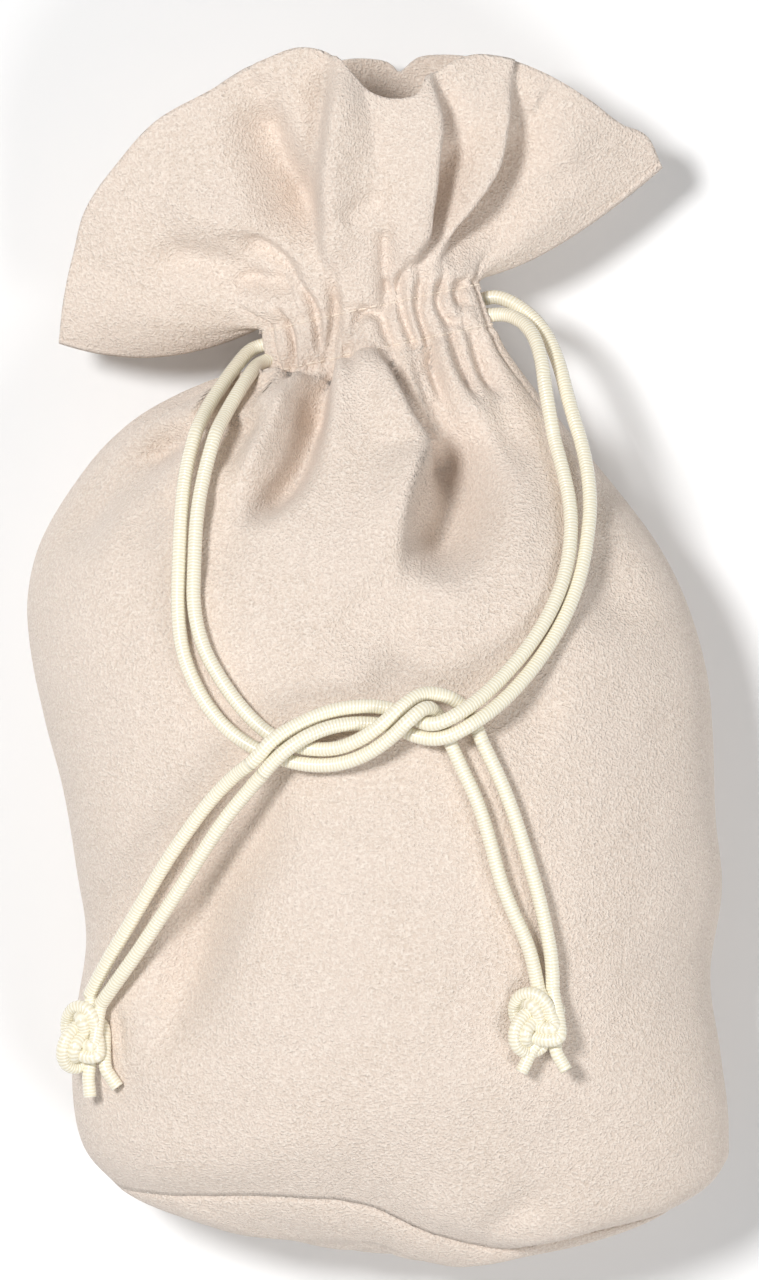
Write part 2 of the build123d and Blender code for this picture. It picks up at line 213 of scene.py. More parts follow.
# Uneven surface of the cloth: height, then seed, number of waves, shortest and longest wave
CLOTH_RIPPLES = [(0.45, (5, 14, 24, 60)), (0.16, (9, 14, 8, 20))]
BASE_RIPPLES = (0.4, (3, 10, 18, 40))

# The lining of the casing is the cloth behind the cords
LINING_LOW = -10.5
LINING_HIGH = 9.0
LINING_NARROW = (-4.5, 3.5)  # it spreads outside these two places
LINING_HALF_WIDTH = 15.5
LINING_HALF_HEIGHT = 5.2
LINING_SPREAD = (5.3, 5.4)  # how much wider and higher it is at its two ends
LINING_GATHER_HEIGHT = 1.5
LINING_CLOTH = 0.8

BASE_BULGE = 9.5
BASE_ROUNDING = (2.6, 0.75)  # exponents of the bulge, flat in its middle and steep at its edge
BASE_WAVE = 0.35        # height of the rings of slack in it
BASE_WAVE_RADIANS = 19  # of waves between its middle and its edge
BASE_SMALLEST = 0.1     # radius of the innermost ring, as a share of the base's edge
ALLOWANCE_WIDTH = 5
ALLOWANCE_INSET = 1.6   # from the wall that it is sewn to
BASE_SEAM_INSET = 2
SEAM_ENDS = (4, 8)      # rows without an allowance at the base and below the casing
STITCH_LENGTH = 1.9
STITCH_PITCH = 2.7
STITCH_START = 1.0      # from the right side seam
THREAD_RADIUS = 0.2
THREAD_LIFT = 0.06      # of a stitch's centre above the cloth's surface
STITCH_ARCH = 0.12

FRONT_COLUMNS = 210
BACK_COLUMNS = 126
BODY_ROWS = 120
CASING_ROWS = 20
RUFFLE_ROWS = 72
LINING_ROWS = 40
BASE_RINGS = 46
ALLOWANCE_ROWS = 4
FOLD_POINTS = 40        # points along each fold's line
STITCH_POINTS = 6

# ---------- cords, in millimetres
CORD = 3.0
STRANDS = {
    "left_outer_exit_strand": [
        (-27.0, 64.2, 31.6), (-29.8, 60.6, 37.2), (-32.6, 56.6, 43.0), (-35.6, 51.8, 48.6),
        (-37.6, 47.4, 54.0),
    ],
    "left_inner_exit_strand": [
        (-25.4, 60.8, 35.6), (-26.4, 59.4, 40.8), (-28.8, 55.6, 46.2), (-31.6, 50.6, 51.4),
        (-33.6, 46.6, 56.6),
    ],
    "right_outer_exit_strand": [
        (25.2, 75.6, 27.6), (30.2, 73.2, 29.4), (35.2, 68.2, 33.0), (38.0, 61.4, 37.4),
        (39.8, 53.8, 41.8), (41.6, 47.4, 45.2),
    ],
    "right_inner_exit_strand": [
        (27.8, 71.6, 32.0), (32.0, 68.6, 36.8), (34.2, 62.8, 41.6), (35.0, 55.6, 45.0),
        (36.4, 47.6, 47.6),
    ],
    "left_outer_strand": [
        (-38.4, 45.0, 55.4), (-40.2, 37.6, 58.6), (-41.0, 28.4, 61.8), (-41.4, 18.4, 64.2),
        (-41.6, 9.4, 65.6), (-40.8, 0.6, 67.2), (-37.6, -7.4, 68.6), (-33.4, -13.6, 70.0),
        (-28.4, -18.0, 71.4), (-22.6, -21.0, 72.8), (-15.4, -23.0, 74.0), (-8.4, -23.0, 75.4),
        (-2.6, -21.0, 77.0), (2.4, -17.6, 78.6), (6.4, -13.6, 80.0), (10.0, -10.6, 78.6),
        (12.2, -12.2, 74.8), (13.8, -15.4, 74.6),
    ],
    "left_inner_strand": [
        (-34.4, 44.2, 58.0), (-36.4, 36.8, 60.4), (-37.8, 28.4, 63.0), (-38.2, 18.4, 65.0),
        (-38.4, 9.6, 66.8), (-36.4, 1.2, 68.4), (-32.0, -6.4, 70.0), (-27.2, -12.6, 71.4),
        (-22.0, -17.2, 72.8), (-15.8, -19.6, 74.0), (-9.0, -19.8, 75.6), (-3.8, -17.8, 77.2),
        (0.6, -14.8, 78.4), (4.6, -11.0, 78.4), (9.2, -7.8, 76.2), (14.6, -8.6, 74.6),
        (18.4, -11.4, 73.4), (20.4, -15.2, 73.6),
    ],
    "right_outer_strand": [
        (42.4, 45.0, 46.2), (43.8, 38.6, 49.6), (44.4, 31.0, 53.2), (43.6, 23.6, 56.8),
        (42.2, 16.2, 60.2), (39.2, 8.2, 63.8), (34.8, 0.6, 67.4), (30.2, -5.4, 71.0),
        (24.8, -10.8, 74.6), (19.4, -14.6, 77.4), (13.8, -17.6, 77.4), (8.6, -17.4, 75.6),
        (3.2, -15.0, 75.0), (-2.2, -14.2, 75.0), (-8.4, -14.6, 76.0), (-14.2, -16.6, 77.0),
        (-18.8, -19.6, 77.0), (-22.0, -22.6, 76.2),
    ],
    "right_inner_strand": [
        (36.8, 45.0, 47.8), (38.6, 38.6, 51.2), (40.2, 31.0, 54.8), (40.2, 23.4, 58.4),
        (38.8, 15.8, 61.8), (35.6, 8.2, 65.4), (31.2, 1.4, 68.8), (26.4, -4.2, 72.0),
        (21.4, -9.0, 75.4), (16.4, -12.6, 78.0), (11.0, -15.0, 78.2), (6.4, -12.8, 75.0),
        (1.2, -10.8, 74.6), (-5.0, -10.8, 75.0), (-11.0, -12.0, 75.4), (-17.2, -14.8, 75.8),
        (-22.0, -17.8, 76.4), (-24.6, -21.0, 76.0),
    ],
    "left_cord_outer_tail": [
        (15.1, -18.7, 74.4), (17.6, -24.2, 74.2), (20.6, -30.4, 74.0), (23.2, -38.6, 73.6),
        (25.2, -46.6, 73.4), (27.8, -53.2, 72.8), (30.8, -59.4, 71.8), (32.4, -65.0, 71.0),
        (33.2, -69.6, 70.0),
    ],
    "left_cord_inner_tail": [
        (21.7, -18.6, 73.6), (24.8, -24.8, 73.2), (27.8, -32.2, 73.0), (30.6, -41.0, 72.4),
        (33.2, -49.8, 72.0), (35.0, -57.6, 71.2), (36.2, -64.4, 70.6), (36.2, -69.6, 69.8),
    ],
    "right_cord_outer_tail": [
        (-23.8, -24.8, 75.4), (-26.8, -28.2, 73.0), (-31.4, -33.6, 70.6), (-36.2, -40.8, 67.8),
        (-40.8, -48.2, 65.0), (-46.0, -56.0, 61.8), (-50.8, -63.2, 58.6), (-55.0, -69.0, 55.2),
        (-58.2, -73.6, 51.6),
    ],
    "right_cord_inner_tail": [
        (-26.8, -23.0, 75.0), (-29.6, -25.0, 72.4), (-34.4, -29.8, 69.4), (-39.4, -36.4, 66.4),
        (-44.6, -44.0, 63.4), (-49.0, -51.6, 60.2), (-53.0, -58.4, 57.4), (-57.0, -64.8, 54.2),
        (-60.4, -71.6, 50.4),
    ],
}
# Each run of a cord: its exit, its stretch of the loop, its tail, and the body that the tail is on
RUNS = {
    f"{side}_{strand}": (
        f"{side}_{strand}_exit_strand", f"{side}_{strand}_strand",
        f"{side}_cord_{strand}_tail", f"{side}_cord_tail",
    )
    for side in ("left", "right")
    for strand in ("outer", "inner")
}
# Where each run leaves the casing, in the neck's frame, drawn on from the loop inside it
CASING_STARTS = {
    "left_outer": [(-19.5, 1.3, 4.2), (-23.5, 1.3, 3.4)],
    "left_inner": [(-19.5, -1.4, 3.6), (-23.0, -2.0, 5.0)],
    "right_outer": [(19.5, 0.6, -1.2), (23.5, 0.8, -0.8)],
    "right_inner": [(19.5, -2.2, 1.8), (24.0, -2.8, 2.6)],
}
# Upper half of the left cord's loop inside the casing: x in the neck's frame, and height
INSIDE_HALF = [(-20.5, 3.0), (-17, 5.6), (-10, 8.2), (11, 8.2), (18, 4)]
# Knots: heading of the cord in plan, reach along, across and up, and each cut end's place and heading
KNOTS = {
    "left_cord_knot": {
        "runs": ("left_outer", "left_inner"), "centre": (33.8, -76.4, 70.8), "heading": -90.0,
        "along": 5.6, "across": 5.4, "up": 1.8,
        "ends": [((36.8, -82.4, 70.0), -60.0), ((31.6, -82.6, 70.0), -115.0)],
    },
    "right_cord_knot": {
        "runs": ("right_outer", "right_inner"), "centre": (-60.8, -80.4, 50.6), "heading": -98.0,
        "along": 6.0, "across": 4.0, "up": 2.2,
        "ends": [((-60.6, -88.2, 49.4), -85.0), ((-57.0, -86.8, 51.2), -55.0)],
    },
}
KNOT_ARC = (1.10 * math.pi, 2.90 * math.pi)  # the part used of a closed three-lobed curve
KNOT_POINTS = 26
KNOT_SHIFT = 0.8        # of the lobes to the cord's right
KNOT_PAIR = 1.2         # each of a knot's two cords from the line midway between them
KNOT_CORD = 0.92        # thickness of the cord drawn tight, as a share
CUT_END_LENGTH = 4.5
TUCKED_CORD = 0.96      # thickness of a tail's first points, inside the strand before it
TUCKED_POINTS = 2
TUBE_START = (0.13, 0.21, 0.97)  # a direction that no cord sets out in
UV_PER_METRE = 100
RUN_STEP = 0.6          # from point to point along a run, a knot and a loop inside the casing
KNOT_STEP = 0.4
INSIDE_STEP = 1.0

# The cords press into the cloth that they lie on
HIDDEN_POINTS = 22      # a run's first points, in the casing and just outside it
PRESS_REACH = 4.5
PRESS_GAP = 0.2
PRESS_SLOPE = 0.6
PRESS_EVERY = 3         # only every third point of a line is used


# ---------- helpers
def hermite(xs, ys, at):
    """A smooth curve through the points."""
    slopes = np.gradient(ys, xs, axis=0)
    index = np.clip(np.searchsorted(xs, at) - 1, 0, len(xs) - 2)
    width = xs[index + 1] - xs[index]
    t = (at - xs[index]) / width
    if ys.ndim > 1:
        shape = (-1,) + (1,) * (ys.ndim - 1)
        width = width.reshape(shape)
        t = t.reshape(shape)
    a = 2 * t**3 - 3 * t**2 + 1
    b = t**3 - 2 * t**2 + t
    c = -2 * t**3 + 3 * t**2
    d = t**3 - t**2
    return a * ys[index] + b * width * slopes[index] + c * ys[index + 1] + d * width * slopes[index + 1]


def lengths_along(line):
    """Length along a line at each of its points."""
    return np.concatenate([[0], np.cumsum(np.linalg.norm(np.diff(line, axis=0), axis=1))])


def along_line(points, share):
    """Points at the given shares of a line's length."""
    points = np.array(points, float)
    lengths = lengths_along(points)
    return hermite(lengths, points, np.asarray(share) * lengths[-1])


def at_lengths(line, lengths, spots):
    """Points of a line at the given lengths along it, straight between its own points."""
    return np.stack([np.interp(spots, lengths, line[:, k]) for k in range(3)], axis=1)


def evenly(line, step):
    lengths = lengths_along(line)
    count = max(4, int(round(lengths[-1] / step)) + 1)
    return at_lengths(line, lengths, np.linspace(0, lengths[-1], count))


def smoothstep(low, high, value):
    t = np.clip((value - low) / (high - low), 0, 1)
    return t * t * (3 - 2 * t)


def on_neck(x, y):
    """XY in the model of a point in the neck's own frame."""
    return NECK + np.multiply.outer(x, ACROSS) + np.multiply.outer(y, ALONG)


def neck_point(x, y, z):
    """A point of the neck's own frame in the model, with z from the side seams up."""
    xy = on_neck(np.array(x), np.array(y))
    return (float(xy[0]), float(xy[1]), SEAM_Z + z)


def nearest_on_line(xy, line):
    """How far each point is from a line, on which side (above zero is left), and how far along."""
    line = along_line(line, np.linspace(0, 1, FOLD_POINTS))
    distance = np.full(xy.shape[:2], np.inf)
    side = np.zeros(xy.shape[:2])
    where = np.zeros(xy.shape[:2])
    for k in range(len(line) - 1):
        step = line[k + 1] - line[k]
        offset = xy - line[k]
        t = np.clip((offset @ step) / (step @ step), 0, 1)
        gap = offset - t[..., None] * step
        here = np.hypot(gap[..., 0], gap[..., 1])
        nearer = here < distance
        distance = np.where(nearer, here, distance)
        side = np.where(nearer, step[0] * offset[..., 1] - step[1] * offset[..., 0], side)
        where = np.where(nearer, (k + t) / (len(line) - 1), where)
    return distance, side, where


def bell(nearest, height, left, right):
    """A height along a line that falls away across it and fades at both its ends."""
    distance, side, where = nearest
    width = np.where(side > 0, left, right)
    start = FOLD_START + (1 - FOLD_START) * smoothstep(0, FOLD_ENDS[0], where)
    fade = start * smoothstep(1, FOLD_ENDS[1], where)
    return height * fade * np.exp(-((distance / width) ** 2) * FOLD_SHARPNESS)


def fold_field(xy, line, depth, left, right):
    """A fold's displacement."""
    return bell(nearest_on_line(xy, line), depth, left, right)


def crease_field(xy, line, height, left, right):
    """A crease's displacement: one side lifted and the other lowered, with a short steep step."""
    nearest = nearest_on_line(xy, line)
    signed = np.sign(nearest[1]) * nearest[0]
    return -height * np.tanh(signed / CREASE_STEP) * bell(nearest, 1.0, left, right)


def lobes(angle, count, sharp, seed):
    """Rounded ridges with narrow valleys between them, of uneven spacing and height."""
    warped = angle + 0.055 * np.sin(3 * angle + seed) + 0.035 * np.sin(7 * angle + 2.3 * seed)
    warped = warped + 0.02 * np.sin(13 * angle + 1.7 * seed)
    height = 1 + 0.35 * np.sin(5 * angle + 3.1 * seed) + 0.2 * np.sin(11 * angle + seed)
    return height * (np.abs(np.sin(count * warped / 2)) ** sharp - 0.6)


def ripples(xy, seed, count, shortest, longest):
    """A smooth uneven surface made of crossed waves."""
    rng = np.random.default_rng(seed)
    total = np.zeros(xy.shape[:2])
    for _ in range(count):
        wavelength = rng.uniform(shortest, longest)
        heading = rng.uniform(0, math.pi)
        wave = np.array([math.cos(heading), math.sin(heading)]) * 2 * math.pi / wavelength
        total += np.sin(xy @ wave + rng.uniform(0, 2 * math.pi))
    return total / math.sqrt(count)


def new_object(name, data):
    obj = bpy.data.objects.new(name, data)
    bpy.context.scene.collection.objects.link(obj)
    return obj


def mesh_object(name, points, faces, smooth=True):
    """A mesh object from points in millimetres."""
    data = bpy.data.meshes.new(name)
    data.from_pydata([tuple(p) for p in np.asarray(points, float) * MM], [], faces)
    data.update()
    data.polygons.foreach_set("use_smooth", [smooth] * len(data.polygons))
    return new_object(name, data)


def grid_faces(rows, columns, closed=False, skip=None):
    faces = []
    for i in range(rows - 1):
        for j in range(columns if closed else columns - 1):
            if skip is not None and skip[i, j]:
                continue
            k = (j + 1) % columns
            here = i * columns
            after = here + columns
            faces.append((here + j, after + j, after + k, here + k))
    return faces


def apply_modifiers(obj):
    """Turn the object's modifiers into mesh."""
    view = bpy.context.evaluated_depsgraph_get()
    data = bpy.data.meshes.new_from_object(obj.evaluated_get(view))
    obj.modifiers.clear()
    old = obj.data
    obj.data = data
    bpy.data.meshes.remove(old)


def thicken(obj, thickness, offset=-1):
    solid = obj.modifiers.new("thickness", "SOLIDIFY")
    solid.thickness = thickness * MM
    solid.offset = offset
    apply_modifiers(obj)


# ---------- cords
def spline_line(points):
    """Points in millimetres along the smooth line with the given control points."""
    data = bpy.data.curves.new("route", "CURVE")
    data.dimensions = "3D"
    data.resolution_u = 12
    spline = data.splines.new("NURBS")
    spline.points.add(len(points) - 1)
    for spot, point in zip(spline.points, points):
        spot.co = (*[v * MM for v in point], 1)
    spline.order_u = 3
    spline.use_endpoint_u = True
    carrier = new_object("route", data)
    view = bpy.context.evaluated_depsgraph_get()
    mesh = bpy.data.meshes.new_from_object(carrier.evaluated_get(view))
    line = np.array([vertex.co[:] for vertex in mesh.vertices]) / MM
    bpy.data.objects.remove(carrier)
    bpy.data.meshes.remove(mesh)
    bpy.data.curves.remove(data)
    return line


def tube(name, line, radius, sides=16, rounded=0.0, tucked=0):
    """A round tube along a line. Its UVs run once round it, and along it in centimetres."""
    line = np.asarray(line, float)
    tangents = np.gradient(line, axis=0)
    tangents /= np.linalg.norm(tangents, axis=1)[:, None]
    normal = np.cross(tangents[0], TUBE_START)
    normal /= np.linalg.norm(normal)
    lengths = lengths_along(line)
    points = []
    for i, (centre, tangent) in enumerate(zip(line, tangents)):
        normal = normal - tangent * (normal @ tangent)
        normal /= np.linalg.norm(normal)
        other = np.cross(tangent, normal)
        size = radius * TUCKED_CORD if i < tucked else radius
        if rounded:
            edge = min(1.0, min(lengths[i], lengths[-1] - lengths[i]) / rounded)
            size = radius * (0.55 + 0.45 * math.sqrt(max(0.0, 1 - (1 - edge) ** 2)))
        for k in range(sides):
            angle = 2 * math.pi * k / sides
            points.append(centre + size * (math.cos(angle) * normal + math.sin(angle) * other))
    faces = grid_faces(len(line), sides, closed=True)
    faces.append(tuple(range(sides)))
    faces.append(tuple(reversed(range((len(line) - 1) * sides, len(line) * sides))))
    obj = mesh_object(name, points, faces)
    for cap in obj.data.polygons[-2:]:
        cap.use_smooth = False
    layer = obj.data.uv_layers.new(name="along")
    for face in obj.data.polygons:
        ring = [obj.data.loops[k].vertex_index % sides for k in face.loop_indices]
        wrap = len(ring) == 4 and max(ring) - min(ring) > 1
        for k in face.loop_indices:
            vertex = obj.data.loops[k].vertex_index
            column = vertex % sides
            if wrap and column == 0:
                column = sides
            layer.data[k].uv = (column / sides, lengths[vertex // sides] * MM * UV_PER_METRE)
    return obj


def joined(name, parts):
    """One object from several."""
    target = bmesh.new()
    for part in parts:
        target.from_mesh(part.data)
    data = bpy.data.meshes.new(name)
    target.to_mesh(data)
    target.free()
    data.polygons.foreach_set("use_smooth", [True] * len(data.polygons))
    for part in parts:
        old = part.data
        bpy.data.objects.remove(part)
        bpy.data.meshes.remove(old)
    return new_object(name, data)


def knot_line(tail, knot, offset, end):
    """One cord of an overhand knot: from its tail, round the knot's three lobes, to its cut end."""
    heading = math.radians(knot["heading"])
    forward = np.array([math.cos(heading), math.sin(heading), 0])
    right = np.array([math.sin(heading), -math.cos(heading), 0])
    turns = np.linspace(*KNOT_ARC, KNOT_POINTS)
    lobed = np.column_stack([
        knot["along"] / 3 * (np.sin(turns) + 2 * np.sin(2 * turns)),
        knot["across"] / 3 * (np.cos(turns) - 2 * np.cos(2 * turns)),
    ])
    tangent = np.gradient(lobed, axis=0)
    tangent /= np.linalg.norm(tangent, axis=1)[:, None]
    lobed += offset * KNOT_PAIR * np.column_stack([-tangent[:, 1], tangent[:, 0]])
    points = [tail[-3], tail[-1]]
    for (a, b), t in zip(lobed, turns):
        lift = np.array([0, 0, -knot["up"] * math.sin(3 * t)])
        points.append(np.array(knot["centre"]) + a * forward + (b + KNOT_SHIFT) * right + lift)
    place = np.array(end[0])
    way = math.radians(end[1])
    out = np.array([math.cos(way), math.sin(way), 0])
    points += [place - out * 0.5, place + out * CUT_END_LENGTH * 0.5, place + out * CUT_END_LENGTH]
    return points


cord_lines = {}
for run, (exit_node, loop_node, tail_node, _) in RUNS.items():
    route = [neck_point(*point) for point in CASING_STARTS[run]]
    route += STRANDS[exit_node] + STRANDS[loop_node] + STRANDS[tail_node]
    line = evenly(spline_line(route), RUN_STEP)
    tail_start = np.array(STRANDS[tail_node][0])
    split = int(np.argmin(np.linalg.norm(line - tail_start, axis=1)))
    cord_lines[run] = (line[:split + 1], line[split - TUCKED_POINTS:])

knot_lines = {}
for name, knot in KNOTS.items():
    knot_lines[name] = []
    for run, offset, end in zip(knot["runs"], (1, -1), knot["ends"]):
        route = knot_line(cord_lines[run][1], knot, offset, end)
        knot_lines[name].append(evenly(spline_line(route), KNOT_STEP))


# ---------- cloth, as rows and columns
# The columns run round the pouch from its right side seam, first over the front.
front_angles = np.linspace(0, math.pi, FRONT_COLUMNS + 1)
back_angles = np.linspace(math.pi, 2 * math.pi, BACK_COLUMNS + 1)
angles = np.concatenate([front_angles, back_angles[1:]])
is_front = angles <= math.pi + 1e-9
swing = np.abs(np.sin(angles))


def table_ring(rows):
    rows = np.array(rows, float)
    return hermite(np.radians(rows[:, 0]), rows[:, 1:], angles)


def station_ring(left_x, left_y, right_x, right_y, crown):
    """A cross-section of the full bag: crowned in front, flat where it lies."""
    left = np.array([left_x, left_y])
    right = np.array([right_x, right_y])
    share = (1 - np.cos(angles)) / 2
    xy = right + share[:, None] * (left - right)
    top = SEAM_Z + (crown - SEAM_Z) * swing ** CROWN_FULLNESS
    bottom = SEAM_Z * (1 - np.sqrt(np.clip(1 - np.abs(np.cos(angles)) ** BED_FLATNESS, 0, 1)))
    return np.column_stack([xy, np.where(is_front, top, bottom)])


def oval_ring(y, half_width, half_height):
    """A cross-section of the neck, at a place along it."""
    flattened = np.sign(np.cos(angles)) * np.abs(np.cos(angles)) ** NECK_FULLNESS
    xy = on_neck(half_width * flattened, np.full(len(angles), y))
    z = SEAM_Z + half_height * np.sign(np.sin(angles)) * swing ** NECK_FULLNESS
    return np.column_stack([xy, z])


def neck_ring(y):
    return oval_ring(y, NECK_HALF_WIDTH, NECK_HALF_HEIGHT)


def bag_surface():
    """Rows from the base seam to the casing's lower edge."""
    rings = [table_ring(BASE_RING), table_ring(SECOND_RING)]
    rings += [station_ring(*row) for row in STATIONS]
    rings.append(neck_ring(CASING_LOW))
    rings = np.array(rings)
    spacing = lengths_along(rings[:, FRONT_COLUMNS // 2])
    return hermite(spacing, rings, np.linspace(0, spacing[-1], BODY_ROWS + 1))


def ruffle_surface():
    """Rows from the casing's upper edge to the ruffle's free edge."""
    share = np.where(is_front, angles / math.pi, (2 * math.pi - angles) / math.pi)
    rim = np.where(is_front[:, None], along_line(FRONT_RIM, share), along_line(BACK_RIM, share))
    rounded = swing ** NECK_FULLNESS
    rim_z = np.where(is_front, RIM_Z + RIM_FRONT_RISE * rounded, RIM_Z - RIM_BACK_DROP * rounded)
    neck_end = neck_ring(CASING_HIGH)
    near_right = np.exp(-((np.minimum(angles, 2 * math.pi - angles) / EDGE_BOW_REACH) ** 2))
    near_left = np.exp(-(((angles - math.pi) / EDGE_BOW_REACH) ** 2))
    rows = []
    for t in np.linspace(0, 1, RUFFLE_ROWS + 1)[1:]:
        xy = neck_end[:, :2] + (rim - neck_end[:, :2]) * t
        bow = 4 * t * (1 - t)
        xy = xy + bow * (near_right[:, None] * RIGHT_EDGE_BOW + near_left[:, None] * LEFT_EDGE_BOW)
        z = neck_end[:, 2] + (rim_z - neck_end[:, 2]) * t
        z = z + np.where(is_front, *RUFFLE_BULGE) * math.sin(math.pi * t) * swing
        rows.append(np.column_stack([xy, z]))
    return np.array(rows)


casing_heights = np.linspace(CASING_LOW, CASING_HIGH, CASING_ROWS + 1)
casing = np.array([neck_ring(y) for y in casing_heights[1:]])
surface = np.concatenate([bag_surface(), casing, ruffle_surface()])
casing_first = BODY_ROWS
casing_last = BODY_ROWS + CASING_ROWS
casing_rows = slice(casing_first, casing_last + 1)

# Where each row is: its length along the front from each edge of the casing, towards the ruffle
row_place = lengths_along(surface[:, FRONT_COLUMNS // 2])
from_low_edge = (row_place - row_place[casing_first])[:, None]
from_high_edge = (row_place - row_place[casing_last])[:, None]
below = np.clip(-from_low_edge, 0, None)
above = np.clip(from_high_edge, 0, None)
in_casing = ((below == 0) & (above == 0)).astype(float)

fine = lobes(angles[None, :], *FINE_GATHERS)
middling = lobes(angles[None, :], *MIDDLING_GATHERS)
broad = lobes(angles[None, :], *BROAD_GATHERS)
broad_share = np.where(is_front, BROAD_IN_FRONT, 1.0)[None, :]


def gathers(away, fine_reach, growth, middling_reach, broad_height, broad_start, broad_reach):
    """Gathers on one side of the casing: the fine ones die away first, and broad ones take over."""
    middling_height = MIDDLING_HEIGHT + growth * (1 - np.exp(-away / GROWTH_START))
    return (away > 0) * (
        FINE_HEIGHT * np.exp(-away / fine_reach) * fine
        + middling_height * np.exp(-away / middling_reach) * middling
        + broad_height * (1 - np.exp(-away / broad_start)) * np.exp(-away / broad_reach) * broad
    )


def casing_puff():
    """The casing swells over the cords inside it and sinks at its two rows of stitching."""
    half_gap = (STITCH_ROWS[1] - STITCH_ROWS[0]) / 2
    swell = np.clip(np.cos((casing_heights - CASING_MIDDLE) / half_gap * math.pi / 2), 0, 1)
    puff = np.zeros(len(surface))
    puff[casing_rows] = PUFF * swell ** PUFF_FULLNESS
    for stitch_row in STITCH_ROWS:
        away = (casing_heights - stitch_row) / STITCH_SINK_REACH
        puff[casing_rows] -= STITCH_SINK * np.exp(-(away**2))
    return puff[:, None]


# The relief is how far each point of the cloth stands out of the plain surface
xy = surface[..., :2]
relief = gathers(
    below, fine_reach=7, growth=1.0, middling_reach=20,
    broad_height=broad_share * BAG_BROAD_HEIGHT, broad_start=12, broad_reach=38,
)
relief = relief + gathers(
    above, fine_reach=6, growth=0.3, middling_reach=13,
    broad_height=broad_share**1.6 * RUFFLE_BROAD_HEIGHT, broad_start=14, broad_reach=math.inf,
)
relief = relief + in_casing * (FINE_HEIGHT * fine + MIDDLING_HEIGHT * middling) + casing_puff()
at_low_edge = np.exp(-((from_low_edge / LOW_EDGE_REACH) ** 2))
relief = relief + is_front * LOW_EDGE_RIDGE * smoothstep(*LOW_EDGE_FADE, xy[..., 0]) * at_low_edge

tucks = [(line, depth, *TUCK_WIDTHS) for line, depth in TUCKS]
casing_valleys = [(line, CASING_VALLEY_DEPTH, *CASING_VALLEY_WIDTHS) for line in CASING_VALLEYS]
# The folds and creases of the bag and of the ruffle fade out as they cross the casing's edges
for folds, field, weight in (
    (BODY_FOLDS, fold_field, smoothstep(4, -5, from_low_edge)),
    (tucks, fold_field, above == 0),
    (BODY_CREASES, crease_field, smoothstep(3, -11, from_low_edge)),
    (RUFFLE_FOLDS, fold_field, smoothstep(-2, 6, from_high_edge)),
    (RUFFLE_CREASES, crease_field, smoothstep(-1, 5, from_high_edge)),
    (casing_valleys, fold_field, 1),
):
    for fold in folds:
        relief = relief + weight * is_front * field(xy, *fold)
relief = np.where(in_casing > 0, np.maximum(relief, CASING_DEEPEST), relief)
for height, waves in CLOTH_RIPPLES:
    relief = relief + (1 - in_casing) * height * ripples(xy, *waves)

# Side seams stay where they are; the relief grows away from them
relief = relief * (SEAM_RELIEF + (1 - SEAM_RELIEF) * smoothstep(0.0, SEAM_HOLD, swing)[None, :])

down_rows = np.gradient(surface, axis=0)
across_columns = np.roll(surface, -1, axis=1) - np.roll(surface, 1, axis=1)
across_columns[:, 0] = surface[:, 1] - surface[:, -2]
across_columns[:, -1] = across_columns[:, 0]
normals = np.cross(down_rows, across_columns)
normals /= np.maximum(np.linalg.norm(normals, axis=2), 1e-9)[..., None]
# Below the ruffle it goes more upright than the normals do: up in front, and down behind
upright = np.where(is_front, 1.0, -1.0) * swing * (from_high_edge < 0)
push = normals + UPRIGHT_PUSH * upright[..., None] * np.array([0, 0, 1])
push /= np.linalg.norm(push, axis=2)[..., None]
surface = surface + push * relief[..., None]
surface[..., 2] = np.maximum(surface[..., 2], FLOOR_GAP)

# The cords press into the cloth that they lie on
lying = [line for standing, tail in cord_lines.values() for line in (standing[HIDDEN_POINTS:], tail)]
lying += [line for lines in knot_lines.values() for line in lines]
for line in lying:
    for centre in line[::PRESS_EVERY]:
        gap = np.hypot(surface[..., 0] - centre[0], surface[..., 1] - centre[1])
        near = (gap < PRESS_REACH) & is_front[None, :]
        limit = centre[2] - PRESS_GAP - np.sqrt(np.clip((CORD / 2) ** 2 - gap**2, 0, None))
        limit = limit + np.clip(gap - CORD / 2, 0, None) * PRESS_SLOPE
        surface[..., 2] = np.where(near, np.minimum(surface[..., 2], limit), surface[..., 2])


def side_of_cloth(name, first, last):
    """One wall of the pouch, from base seam to free edge, with slits at its sides for the cords."""
    part = surface[:, first:last + 1]
    rows, columns = part.shape[:2]
    along_neck = np.full(rows, np.inf)
    along_neck[casing_rows] = casing_heights
    at_slit = np.abs(along_neck - CASING_MIDDLE) < EXIT_HALF_LENGTH
    near_seam = np.abs(part[..., 2] - SEAM_Z) < EXIT_HALF_HEIGHT
    faces = grid_faces(rows, columns, skip=at_slit[:, None] & near_seam)
    obj = mesh_object(name, part.reshape(-1, 3), faces)
    thicken(obj, CLOTH)
    return obj


def lining():
    """The casing's lining: gathered to the neck's small opening, spreading at both ends."""
    rows = []
    for y in np.linspace(LINING_LOW, LINING_HIGH, LINING_ROWS):
        spread = smoothstep(LINING_NARROW[0], LINING_LOW, y)
        spread = spread + smoothstep(LINING_NARROW[1], LINING_HIGH, y)
        ridges = LINING_GATHER_HEIGHT * lobes(angles, *LINING_GATHERS) * (1 - 0.7 * spread)
        half_width = LINING_HALF_WIDTH + LINING_SPREAD[0] * spread + ridges
        half_height = LINING_HALF_HEIGHT + LINING_SPREAD[1] * spread + ridges
        rows.append(oval_ring(y, half_width, half_height))
    rows = np.array(rows)
    obj = mesh_object("casing_lining", rows.reshape(-1, 3), grid_faces(LINING_ROWS, len(angles)))
    thicken(obj, LINING_CLOTH)
    return obj


